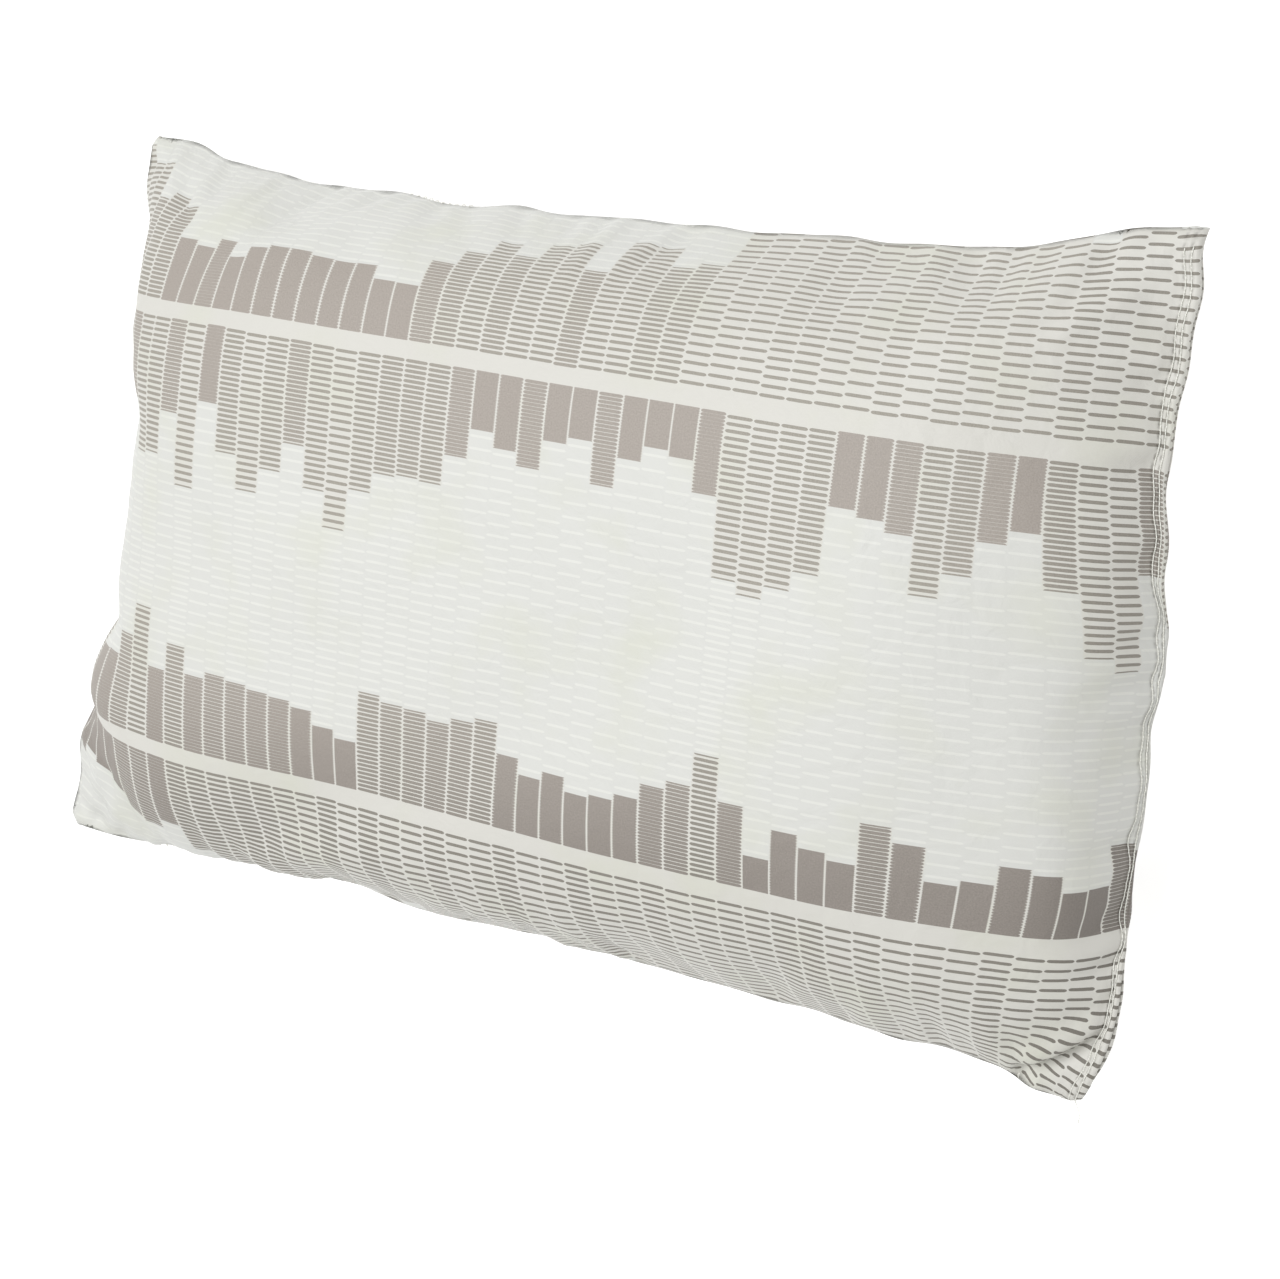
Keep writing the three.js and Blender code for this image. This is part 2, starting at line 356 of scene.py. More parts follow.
front = lay_down(front)
back = lay_down(back)
print("seam height", round(seam_height * 1000, 2), "mm, back lowest", round(back[..., 2].min() * 1000, 2))

# %% [markdown]
# ## Finer cloth
#
# The solver's cells are too coarse for the camera. A midpoint from four neighbours keeps the curves
# round and the creases where they are, and it also gives each new point its place on the flat cloth.

# %% Halve the cells
def refine(grid, axis):
    line = np.moveaxis(grid, axis, 0)
    wide = np.concatenate([2 * line[:1] - line[1:2], line, 2 * line[-1:] - line[-2:-1]])
    middle = (9 * (wide[1:-2] + wide[2:-1]) - wide[:-3] - wide[3:]) / 16
    finer = np.empty((2 * len(line) - 1,) + line.shape[1:])
    finer[::2] = line
    finer[1::2] = middle
    return np.moveaxis(finer, 0, axis)


front = refine(refine(front, 0), 1)
back = refine(refine(back, 0), 1)
across = np.linspace(-panel_length / 2, panel_length / 2, front.shape[0])
along = np.linspace(-panel_width / 2, panel_width / 2, front.shape[1])
place_u, place_v = np.meshgrid(across, along, indexing="ij")
from_side = panel_width / 2 - np.abs(place_v)
from_left = place_u + panel_length / 2
from_hem = panel_length / 2 - place_u
print("finer grid", front.shape[:2])


# %% Which way is out
def outward(grid, side):
    normal = np.cross(np.gradient(grid, axis=0), np.gradient(grid, axis=1))
    normal /= np.maximum(np.linalg.norm(normal, axis=-1, keepdims=True), 1e-12)
    return normal if side == 0 else -normal


# %% [markdown]
# ## Puckers
#
# Thread draws the cloth in along a seam, and it gathers in short ridges that start at the seam and fade
# after a few centimetres. They lean a little, because the two panels are never sewn quite evenly. The
# ridges come from a few sine waves with lengths and phases picked at random, and they are added along
# the outward direction.

# %% Ridges with random lengths
def ridges(distance, shortest, longest, count, seed):
    pick = np.random.default_rng(seed)
    length = pick.uniform(shortest, longest, count)
    phase = pick.uniform(0, full_turn, count)
    turns = [np.sin(full_turn * distance / a + b) for a, b in zip(length, phase)]
    return sum(turns) / count ** 0.5


# %% Puckers beside the seams and the hem
pucker_reach = 0.018
pucker_start = 0.003
hem_pucker_at = 0.012


def gathered(height, distance):
    return height * np.exp(-distance / pucker_reach) * (1 - np.exp(-distance / pucker_start))


def pucker(side):
    lean = 0.5 * from_side * np.sin(place_u * 40 + side)
    height = gathered(0.0011 * ridges(place_u + lean, 0.009, 0.03, 9, 10 + side), from_side)
    height += gathered(0.0010 * ridges(place_v + 0.3 * from_left, 0.011, 0.03, 9, 20 + side), from_left)
    height += 0.0010 * ridges(place_v + 0.2 * from_hem, 0.012, 0.034, 9, 30) \
        * np.exp(-np.abs(from_hem - hem_pucker_at) / hem_pucker_at) * (1 if side == 0 else 0.8)
    swell = ridges(place_u + 0.4 * place_v, 0.05, 0.12, 5, 40 + side) \
        * ridges(place_v - 0.3 * place_u, 0.05, 0.11, 5, 50 + side)
    return height + 0.0005 * swell * np.clip(from_side / 0.05, 0, 1)


print("tallest ridge", round(float(np.abs(pucker(0)).max()) * 1000, 2), "mm")

# %% [markdown]
# The seams themselves are never quite straight either. They sway by half a millimetre or so, and the hem
# waves more slowly. The two panels share this sway, so the seam stays closed.

# %% Waves of the seam
wave_reach = 0.014
hem_wave_reach = 0.016


def seam_wave():
    half = np.sign(place_v)
    sway = np.zeros(place_u.shape + (3,))
    sway[..., 1] = 0.0005 * ridges(place_u + 0.3 * half, 0.02, 0.075, 7, 90) \
        * np.exp(-from_side / wave_reach)
    sway[..., 0] = 0.0008 * ridges(place_v, 0.02, 0.07, 7, 91) * np.exp(-from_left / wave_reach)
    sway[..., 0] += 0.0006 * ridges(place_v, 0.025, 0.07, 7, 92) * np.exp(-from_hem / hem_wave_reach)
    nearest = np.minimum(np.minimum(from_side, from_left), from_hem)
    sway[..., 2] = 0.0006 * ridges(place_u + place_v + 0.3 * half, 0.02, 0.06, 7, 93) \
        * np.exp(-nearest / wave_reach)
    return sway


print("widest sway", round(float(np.abs(seam_wave()).max()) * 1000, 2), "mm")

# %% [markdown]
# A few longer creases, left by a hand, run in from the corners of the front. Each has a start, an end, a
# width and a depth, in millimetres. A crease is a valley with a ridge beside it.

# %% Creases left by a hand
hand_creases = [
    ((-173, -142), (-204, -106), 8, 2.0),
    ((-196, 140), (-168, 112), 4.5, 1.6),
    ((205, 138), (172, 112), 5, 1.5),
    ((190, -152), (228, -120), 4.5, 4.0),
]


def creases():
    dip = np.zeros(place_u.shape)
    for start_at, end_at, width, depth in hand_creases:
        start_at, end_at = np.array(start_at) / 1000, np.array(end_at) / 1000
        length = np.linalg.norm(end_at - start_at)
        heading = (end_at - start_at) / length
        along_it = (place_u - start_at[0]) * heading[0] + (place_v - start_at[1]) * heading[1]
        off_it = (place_v - start_at[1]) * heading[0] - (place_u - start_at[0]) * heading[1]
        off_it = off_it / (width / 1000)
        reach = np.exp(-np.clip(np.abs(along_it / length - 0.5) - 0.25, 0, None) ** 2 / 0.03)
        dip += depth / 1000 * reach * (0.7 * np.exp(-(off_it - 1.3) ** 2) - np.exp(-off_it ** 2))
    return dip


print("deepest crease", round(float(-creases().min()) * 1000, 2), "mm")

# %% Add the puckers, the creases and the waves
above_floor = 0.0004
front += outward(front, 0) * (pucker(0) + creases())[..., None] + seam_wave()
back += outward(back, 1) * pucker(1)[..., None] + seam_wave()
back[..., 2] = np.maximum(back[..., 2], above_floor)
edge = (place_v == along[0]) | (place_v == along[-1]) | (place_u == across[0])
middle = (front + back) / 2
front[edge] = middle[edge]
back[edge] = middle[edge]
print("points on the turned seams", int(edge.sum()))

# %% [markdown]
# ## The hem's layers
#
# At the closing end each panel's edge is folded in, and the four layers are stitched flat. So the outer
# layer of each panel lifts off the middle, turns round at the edge and comes back underneath. On the
# other three sides the cloth turns inwards at the seam and ends in a raw allowance. The allowance lies
# half way between the two panels, wherever they go, so it follows every fold and stays inside. In the
# ears the panels nearly meet, so they are pushed apart by the thickness of the layers between them.

# %% Make room for the allowances
cloth_thickness = 0.0002
hem_width = 0.009
allowance = 0.008
room_inside = 0.0016
seam_slope = 0.004

hem_out = outward(middle, 0)
from_seam = np.minimum(from_side, from_left)
room_needed = room_inside * np.clip(from_seam / seam_slope, 0, 1)
gap = ((front - back) * hem_out).sum(axis=-1)
push = (np.clip(room_needed - gap, 0, None) / 2)[..., None]
front += hem_out * push
back -= hem_out * push
back[..., 2] = np.maximum(back[..., 2], above_floor)
print("pushed apart", int((push > 0).sum()), "points")

# %% Lift the hem's outer layers
hem_lift = 0.00065
hem_slope = 0.006
inner_lift = 0.0001

hem_share = np.clip((hem_width + hem_slope - from_hem) / hem_slope, 0, 1)
side_share = np.clip(from_side / seam_slope, 0, 1) ** 0.5
lift = (hem_share * side_share * hem_lift)[..., None]
inner_front = middle + hem_out * inner_lift
inner_back = middle - hem_out * inner_lift
front += hem_out * lift
back -= hem_out * lift
print("hem thickness", round(2 * hem_lift * 1000, 2), "mm")


# %% [markdown]
# ## A panel of casing
#
# One grid holds the whole panel: the face, the three allowances and the folded hem. The corner blocks
# between two allowances are left out, as they are clipped on the real thing. A UV map keeps the place of
# each point on the flat cloth, in metres, so the print bends and stretches with the cloth.

# %% Build one panel
allowance_lift = 0.00012
fold_radius = 0.0003


def panel(name, face, inner, side):
    way = 1 if side == 0 else -1
    between = middle + hem_out * allowance_lift * way
    wide = np.full((face.shape[0] + 6, face.shape[1] + 4, 3), np.nan)
    spot = np.full(wide.shape[:2] + (2,), np.nan)
    wide[2:-4, 2:-2] = face
    spot[2:-4, 2:-2] = np.stack([place_u, place_v], -1)
    for step, line in enumerate((2, 3)):
        reach = allowance * (0.5, 1.0)[step]
        wide[2:-4, 1 - step] = between[:, line]
        wide[2:-4, step - 2] = between[:, -1 - line]
        wide[1 - step, 2:-2] = between[line]
        spot[2:-4, 1 - step] = np.stack([across, along[:1].repeat(len(across)) - reach], -1)
        spot[2:-4, step - 2] = np.stack([across, along[-1:].repeat(len(across)) + reach], -1)
        spot[1 - step, 2:-2] = np.stack([across[:1].repeat(len(along)) - reach, along], -1)
    edge_out = face[-1] - face[-2]
    edge_out /= np.linalg.norm(edge_out, axis=-1, keepdims=True)
    turn = (face[-1] + inner[-1]) / 2 + edge_out * fold_radius
    wide[-4, 2:-2] = turn
    spot[-4, 2:-2] = np.stack([across[-1:].repeat(len(along)) + 2 * fold_radius, along], -1)
    for step, back_by in enumerate((0, 2, 4)):
        wide[step - 3, 2:-2] = inner[-1 - back_by]
        reach = 4 * fold_radius + across[-1] - across[-1 - back_by]
        spot[step - 3, 2:-2] = np.stack([across[-1:].repeat(len(along)) + reach, along], -1)
    there = ~np.isnan(wide[..., 0])
    number = np.full(there.shape, -1)
    number[there] = np.arange(there.sum())
    faces = quads(number, side == 0)
    faces = faces[(faces >= 0).all(axis=1)]
    mesh = bpy.data.meshes.new(name)
    mesh.from_pydata(wide[there].tolist(), [], faces.tolist())
    layer = mesh.uv_layers.new(name="flat_cloth")
    loop_points = np.zeros(len(mesh.loops), int)
    mesh.loops.foreach_get("vertex_index", loop_points)
    layer.data.foreach_set("uv", spot[there][loop_points].astype(np.float32).ravel())
    mesh.polygons.foreach_set("use_smooth", np.ones(len(mesh.polygons), bool))
    piece = bpy.data.objects.new(name, mesh)
    scene.collection.objects.link(piece)
    thick = piece.modifiers.new("cloth_thickness", "SOLIDIFY")
    thick.thickness = cloth_thickness
    thick.offset = -1
    print(name, len(mesh.polygons), "faces")
    return piece


front_casing = panel("front_casing", front, inner_front, 0)
back_casing = panel("back_casing", back, inner_back, 1)

# %% [markdown]
# ## Thread
#
# Thread is a round strand, so each one is a curve with a round section, turned into a mesh. A lockstitch
# shows a row of short stitches on both faces: each dives through the cloth at its ends, where the needle
# thread and the bobbin thread hook round each other.


# %% A strand through points
def strand(name, lines, radius):
    curve = bpy.data.curves.new(name, "CURVE")
    curve.dimensions = "3D"
    curve.bevel_depth = radius
    curve.bevel_resolution = 1
    curve.use_fill_caps = True
    for line in lines:
        spline = curve.splines.new("POLY")
        spline.points.add(len(line) - 1)
        spline.points.foreach_set("co", np.c_[line, np.ones(len(line))].astype(np.float32).ravel())
    holder = bpy.data.objects.new(name + "_curve", curve)
    scene.collection.objects.link(holder)
    mesh = bpy.data.meshes.new_from_object(holder.evaluated_get(bpy.context.evaluated_depsgraph_get()))
    mesh.name = name
    bpy.data.objects.remove(holder)
    mesh.polygons.foreach_set("use_smooth", np.ones(len(mesh.polygons), bool))
    piece = bpy.data.objects.new(name, mesh)
    scene.collection.objects.link(piece)
    print(name, len(mesh.polygons), "faces")
    return piece


def on_cloth(grid, u, v):
    at_i = np.clip((u / panel_length + 0.5) * (grid.shape[0] - 1), 0, grid.shape[0] - 1.001)
    at_j = np.clip((v / panel_width + 0.5) * (grid.shape[1] - 1), 0, grid.shape[1] - 1.001)
    low_i = at_i.astype(int)
    low_j = at_j.astype(int)
    share_i = (at_i - low_i)[:, None]
    share_j = (at_j - low_j)[:, None]
    near = grid[low_i, low_j] * (1 - share_i) + grid[low_i + 1, low_j] * share_i
    far = grid[low_i, low_j + 1] * (1 - share_i) + grid[low_i + 1, low_j + 1] * share_i
    return near * (1 - share_j) + far * share_j


# %% [markdown]
# ## The closing rows
#
# Two rows hold the hem shut, 3 mm and 5.6 mm in from the edge, with stitches 3.5 mm long. The hand that
# guides the cloth is never quite steady, so the rows wander by a fraction of a millimetre. The outer
# needle thread ends in a short loose tail at the lower corner.

# %% Stitch the hem
stitch = 0.0035
row_insets = {"outer_row": 0.003, "inner_row": 0.0056}
row_end = 0.004
row_wander = 0.00022
thread_radius = 0.00021


def stitch_row(grid, side, inset, seed):
    count = int((panel_width - 2 * row_end) / stitch)
    first = -panel_width / 2 + row_end
    shares = (0.0, 0.10, 0.3, 0.5, 0.7, 0.90)
    heights = (-0.55, 0.25, 0.75, 0.9, 0.75, 0.25)
    v = np.array([first + (n + s) * stitch for n in range(count) for s in shares])
    rise = np.array([h * thread_radius for _ in range(count) for h in heights])
    wander = row_wander * ridges(v, 0.011, 0.05, 6, seed)
    u = np.full(len(v), panel_length / 2 - inset) + wander
    out = outward(grid, side)
    return on_cloth(grid, u, v) + on_cloth(out, u, v) * rise[:, None]


rows_made = {}
for seed, (label, inset) in enumerate(row_insets.items(), start=60):
    for grid, side, kind in ((front, 0, "needle"), (back, 1, "bobbin")):
        rows_made[label, kind] = stitch_row(grid, side, inset, seed)
start_point = rows_made["outer_row", "needle"][0]
tail_end = np.array([0.0022, -0.0075, 0.0012])
tail_bow = np.array([0.0016, 0.0, 0.0012])
tail_steps = np.linspace(0, 1, 12)[::-1, None]
tail = start_point + tail_steps * tail_end + np.sin(tail_steps * 3.1) * tail_bow
rows_made["outer_row", "needle"] = np.vstack([tail, rows_made["outer_row", "needle"]])
stitches = {
    key: strand("{}_{}_stitches".format(*key), [line], thread_radius)
    for key, line in rows_made.items()}

# %% [markdown]
# ## The overlock
#
# Inside, the raw edges of the two allowances are bound together by an overlock thread, which loops round
# both layers on its way along the three turned seams. It can't be seen on a closed pillow, but it is
# part of how the casing holds together, so it is there.

# %% Loop a thread round the allowances
def round_the_seam(line):
    return np.vstack([middle[::-1, line], middle[line, 1:], middle[1:, -1 - line]])


seam = round_the_seam(0)
raw_edge = round_the_seam(3)
travel = np.r_[0, np.cumsum(np.linalg.norm(np.diff(seam, axis=0), axis=1))]
loop_pitch = 0.003
points_in_loop = 8
end_clear = 0.025
corner_clear = 0.028
loop_depth = 0.0014
loop_inset = 0.0011
loop_height = 0.00055
overlock_radius = 0.0002
turns = int((travel[-1] - 2 * end_clear) / loop_pitch)
where = end_clear + np.linspace(0, turns * loop_pitch, turns * points_in_loop + 1)
clear = np.abs(where - travel[len(across)]) > corner_clear
clear &= np.abs(where - travel[len(across) + len(along) - 2]) > corner_clear
base = np.stack([np.interp(where, travel, raw_edge[:, k]) for k in range(3)], -1)
inward = base - np.stack([np.interp(where, travel, seam[:, k]) for k in range(3)], -1)
inward /= np.maximum(np.linalg.norm(inward, axis=1, keepdims=True), 1e-9)
heading = np.gradient(base, axis=0)
across_seam = np.cross(inward, heading)
across_seam /= np.linalg.norm(across_seam, axis=1, keepdims=True)
angle = np.linspace(0, 2 * math.pi * turns, len(where))
loops = base + inward * (loop_depth * np.cos(angle) - loop_inset)[:, None] \
    + across_seam * (loop_height * np.sin(angle))[:, None]
cuts = np.flatnonzero(np.diff(clear.astype(int))) + 1
lines = [part for part, keep in zip(np.split(loops, cuts), np.split(clear, cuts)) if keep[0]]
overlock = strand("overlock_thread", lines, overlock_radius)
print("overlock runs", len(lines))

# %% [markdown]
# ## The filling
#
# Loose fibre fills the casing to its skin but stays clear of the seam allowances. The filling is a
# closed body just inside the cloth, dented all over by its own clumps.


# %% Make the fibre body
skin_gap = 0.0008
clump_depth = 0.0006
keep_off = 7
step = 2


def fibre_body(name):
    cut = (slice(keep_off, -keep_off - 4, step), slice(keep_off, -keep_off, step))
    grids = []
    for grid, side in ((front, 0), (back, 1)):
        u, v = place_u[cut], place_v[cut]
        clumps = ridges(u + 0.6 * v, 0.012, 0.03, 7, 70 + side) \
            * ridges(v - 0.5 * u, 0.012, 0.03, 7, 80 + side)
        depth = skin_gap + clump_depth * (1 + np.tanh(clumps))
        grids.append(grid[cut] - outward(grid, side)[cut] * depth[..., None])
    size = grids[0].shape[0] * grids[0].shape[1]
    top_number = np.arange(size).reshape(grids[0].shape[:2])
    under_number = top_number + size
    ring = np.concatenate([
        top_number[:-1, 0], top_number[-1, :-1], top_number[:0:-1, -1], top_number[0, :0:-1]])
    follow = np.roll(ring, -1)
    wall = np.stack([ring, ring + size, follow + size, follow], -1)
    mesh = bpy.data.meshes.new(name)
    mesh.from_pydata(
        np.vstack([g.reshape(-1, 3) for g in grids]).tolist(), [],
        np.vstack([quads(top_number, True), quads(under_number, False), wall]).tolist())
    mesh.polygons.foreach_set("use_smooth", np.ones(len(mesh.polygons), bool))
    piece = bpy.data.objects.new(name, mesh)
    scene.collection.objects.link(piece)
    print(name, len(mesh.polygons), "faces")
    return piece


fibre = fibre_body("fibre_filling")

# %% [markdown]
# ## Node helpers
#
# The finishes are built from small sums, so a few helpers keep the cells short. A node's inputs take
# either a plain value or the output of another node.


# %% Helpers for shader nodes
class Wiring:
    def __init__(self, tree):
        self.tree = tree

    def feed(self, socket, value):
        if isinstance(value, bpy.types.NodeSocket):
            self.tree.links.new(value, socket)
        else:
            socket.default_value = value

    def fill(self, made, inputs):
        for label, value in inputs.items():
            self.feed(made.inputs[label], value)
        return made

    def node(self, kind, inputs=None, **settings):
        made = self.tree.nodes.new(kind)
        for key, value in settings.items():
            setattr(made, key, value)
        return self.fill(made, inputs or {})

    def sum(self, operation, *values):
        made = self.node("ShaderNodeMath", operation=operation)
        for socket, value in zip(made.inputs, values):
            self.feed(socket, value)
        return made.outputs[0]

    def mix(self, share, first, second):
        made = self.node("ShaderNodeMix", data_type="RGBA")
        self.fill(made, {"Factor": share, "A": first, "B": second})
        return made.outputs["Result"]


def new_group(name, inputs, outputs):
    tree = bpy.data.node_groups.new(name, "ShaderNodeTree")
    for label, kind, value in inputs:
        socket = tree.interface.new_socket(label, in_out="INPUT", socket_type=kind)
        socket.default_value = value
    for label, kind in outputs:
        tree.interface.new_socket(label, in_out="OUTPUT", socket_type=kind)
    wires = Wiring(tree)
    return wires, wires.node("NodeGroupInput").outputs, wires.node("NodeGroupOutput").inputs


def new_finish(name):
    material = bpy.data.materials.new(name)
    material.use_nodes = True
    return material, Wiring(material.node_tree), material.node_tree.nodes["Principled BSDF"]


def colour(red, green, blue):
    parts = [c / 255 for c in (red, green, blue)]
    return [c / 12.92 if c <= 0.04045 else ((c + 0.055) / 1.055) ** 2.4 for c in parts] + [1.0]


# %% [markdown]
# ## The weave
#
# The cloth is a fine plain weave, with threads about a quarter of a millimetre apart. From across a room
# it only shows as a slight grain. Two crossed sine waves make it, and a noise varies the thickness of
# the yarns. The group gives a height for the bump and a grain for the colour.

# %% The weave group
w, given, out = new_group(
    "plain_weave",
    [("Place", "NodeSocketVector", (0, 0, 0)), ("Threads per mm", "NodeSocketFloat", 3.6)],
    [("Height", "NodeSocketFloat"), ("Grain", "NodeSocketFloat")])
parts = w.node("ShaderNodeSeparateXYZ", {"Vector": given["Place"]})
turn_rate = w.sum("MULTIPLY", given["Threads per mm"], math.pi)
warp = w.sum("SINE", w.sum("MULTIPLY", parts.outputs[0], turn_rate))
weft = w.sum("SINE", w.sum("MULTIPLY", parts.outputs[1], turn_rate))
crossing = w.sum("MULTIPLY", warp, weft)
yarn = w.node("ShaderNodeTexNoise", {
    "Vector": given["Place"], "Scale": 1.8, "Detail": 3, "Roughness": 0.7})
w.feed(out["Height"], w.sum("MULTIPLY_ADD", crossing, 0.5, yarn.outputs["Fac"]))
w.feed(out["Grain"], yarn.outputs["Fac"])
weave_group = w.tree
print("weave nodes", len(weave_group.nodes))

# %% [markdown]
# ## The print
#
# The print is a chart of bars. Columns 10 mm wide run across the cloth, two pale stripes cross them, and
# from each stripe bars rise and hang. Each bar is made of the same number of dashes, so a short bar
# looks solid and a tall one open. Between the ends of two facing bars the pale ground has white dashes
# in the same way. Each skyline is a curve with a few points, and a hash per column makes it uneven.

# %% Measures of the print, in millimetres
column_pitch = 10.0
column_start = 6.8
stripe_top = 80.6
stripe_repeat = 165.6
stripe_width = 6.0
dashes_in_bar = 23.5
dash_thickness = 1.16
white_dashes = 24.0
white_dash_thickness = 0.9
column_fill = 0.48
solid_bar, open_bar = 24, 48
print_turn = -0.0143
tallest = 150
skylines = {
    "rising_top": [(0, 58), (0.05, 52), (0.1, 32), (0.16, 26), (0.35, 25), (0.42, 48), (0.55, 56),
                   (0.62, 76), (0.72, 92), (0.85, 96), (1, 88)],
    "hanging_middle": [(0, 52), (0.09, 48), (0.14, 56), (0.33, 62), (0.42, 34), (0.58, 30), (0.64, 60),
                       (0.78, 46), (0.86, 56), (1, 70)],
    "rising_middle": [(0, 60), (0.1, 54), (0.18, 32), (0.3, 36), (0.45, 38), (0.54, 22), (0.62, 52),
                      (0.72, 22), (0.8, 36), (0.9, 20), (1, 38)],
    "hanging_bottom": [(0, 26), (0.1, 34), (0.22, 50), (0.3, 64), (0.6, 78), (1, 92)],
}
uneven = {"rising_top": 0.35, "hanging_middle": 0.7, "rising_middle": 0.65, "hanging_bottom": 0.32}
length_mm = panel_length * 1000
width_mm = panel_width * 1000
print("columns over the cloth", round(length_mm / column_pitch, 1))

# %% [markdown]
# A bar's height is its skyline times a hash between two limits. The hash is a White Noise texture that
# reads the column number, so it is steady over the whole bar.

# %% The print group: place on the cloth
w, given, out = new_group(
    "bar_print",
    [("Column shift", "NodeSocketFloat", 0.0)],
    [("Ink", "NodeSocketFloat"), ("Open bar", "NodeSocketFloat"), ("Ground", "NodeSocketFloat"),
     ("White dash", "NodeSocketFloat"), ("Place", "NodeSocketVector")])
flat_map = w.node("ShaderNodeUVMap", uv_map="flat_cloth")
in_mm = w.node(
    "ShaderNodeVectorMath", {"Vector": flat_map.outputs[0], "Scale": 1000}, operation="SCALE")
turned_map = w.node(
    "ShaderNodeVectorRotate", {"Vector": in_mm.outputs[0], "Angle": -print_turn}, rotation_type="Z_AXIS")
w.feed(out["Place"], in_mm.outputs[0])
split = w.node("ShaderNodeSeparateXYZ", {"Vector": turned_map.outputs[0]})
place_in_columns = w.sum("DIVIDE", w.sum("SUBTRACT", split.outputs[0], column_start), column_pitch)
column = w.sum("FLOOR", place_in_columns)
in_column = w.sum("ABSOLUTE", w.sum("SUBTRACT", w.sum("FRACT", place_in_columns), 0.5))
over_stripe = w.sum("SUBTRACT", split.outputs[1], stripe_top - stripe_repeat)
from_stripe = w.sum("DIVIDE", over_stripe, stripe_repeat)
band = w.sum("FLOOR", from_stripe)
up_band = w.sum("MULTIPLY", w.sum("FRACT", from_stripe), stripe_repeat)
open_height = stripe_repeat - stripe_width
share_of_cloth = w.sum("MULTIPLY_ADD", column, column_pitch / length_mm, 0.5)
print("open band between stripes", open_height, "mm")

# %% The print group: bar heights
seed_line = w.sum("ADD", w.sum("ADD", column, given["Column shift"]), 0.5)


def bar_height(name, seed):
    curve = w.node("ShaderNodeFloatCurve")
    line = curve.mapping.curves[0]
    keys = skylines[name]
    while len(line.points) < len(keys):
        line.points.new(0.5, 0.5)
    for point, (at, height) in zip(line.points, keys):
        point.location = (at, height / tallest)
        point.handle_type = "VECTOR"
    curve.mapping.update()
    w.feed(curve.inputs["Value"], share_of_cloth)
    chance = w.node("ShaderNodeTexWhiteNoise", noise_dimensions="1D")
    w.feed(chance.inputs["W"], w.sum("ADD", seed_line, seed * 61.0))
    drop = w.sum("POWER", chance.outputs["Value"], 1.4)
    keep = w.sum("SUBTRACT", 1.08, w.sum("MULTIPLY", drop, uneven[name]))
    return w.sum("MULTIPLY", w.sum("MULTIPLY", curve.outputs[0], tallest), keep)


def choose(is_second, first, second):
    return w.sum("ADD", w.sum("MULTIPLY", first, w.sum("SUBTRACT", 1, is_second)),
                 w.sum("MULTIPLY", second, is_second))


in_top = w.sum("GREATER_THAN", band, 0.5)
in_bottom = w.sum("LESS_THAN", band, -0.5)
rising = choose(in_top, bar_height("rising_middle", 1), bar_height("rising_top", 2))
hanging = choose(in_bottom, bar_height("hanging_middle", 3), bar_height("hanging_bottom", 4))
print("skylines", len(skylines))

# %% [markdown]
# Each dash is a thin bar with rounded ends. Its half thickness falls to nothing at the ends of the
# column, which leaves the narrow pale gap between columns.

# %% The print group: dashes
def dashes(place, height, count, thickness):
    pitch = w.sum("DIVIDE", height, count)
    inside = w.sum("FRACT", w.sum("DIVIDE", place, pitch))
    from_middle = w.sum("MULTIPLY", w.sum("ABSOLUTE", w.sum("SUBTRACT", inside, 0.5)), pitch)
    end = w.sum("POWER", w.sum("DIVIDE", in_column, column_fill), 14)
    half = w.sum("MULTIPLY", w.sum("SUBTRACT", 1, end), thickness / 2)
    return w.sum("LESS_THAN", from_middle, half)


from_top = w.sum("SUBTRACT", open_height, up_band)
in_stripe = w.sum("GREATER_THAN", up_band, open_height)
in_rising = w.sum("LESS_THAN", up_band, rising)
in_hanging = w.sum("MULTIPLY", w.sum("LESS_THAN", from_top, hanging), w.sum("SUBTRACT", 1, in_stripe))
rising_ink = w.sum("MULTIPLY", in_rising, dashes(up_band, rising, dashes_in_bar, dash_thickness))
hanging_ink = w.sum("MULTIPLY", in_hanging, dashes(from_top, hanging, dashes_in_bar, dash_thickness))
in_bars = w.sum("MAXIMUM", w.sum("MAXIMUM", in_rising, in_hanging), in_stripe)
ground = w.sum("SUBTRACT", 1, in_bars)
gap_height = w.sum("SUBTRACT", w.sum("SUBTRACT", open_height, rising), hanging)
over_bar = w.sum("SUBTRACT", up_band, rising)
white = w.sum(
    "MULTIPLY", ground, dashes(over_bar, gap_height, white_dashes, white_dash_thickness))
w.feed(out["Ink"], w.sum("MAXIMUM", rising_ink, hanging_ink))
bar = choose(in_hanging, rising, hanging)
openness = w.node("ShaderNodeMapRange", {
    "Value": bar, "From Min": solid_bar, "From Max": open_bar}, interpolation_type="SMOOTHSTEP")
w.feed(out["Open bar"], openness.outputs[0])
w.feed(out["Ground"], ground)
w.feed(out["White dash"], white)
print_group = w.tree
print("print nodes", len(print_group.nodes))

# %% [markdown]
# ## Printed cloth
#
# The cloth is a light synthetic with a soft satin face: mostly matt, with a wide gentle highlight and a
# faint sheen at the edges. The ink lies in the yarn and is a little duller. Towards the lower edge and the
# hem the ink is darkened with painted shade, where the cloth turns away from the light. The bump has three
# layers: a soft crinkle about a centimetre wide, the weave and, near the closing rows, the small dents
# that the stitches pull into the hem.

# %% Dents along the closing rows
dent_width = 0.8


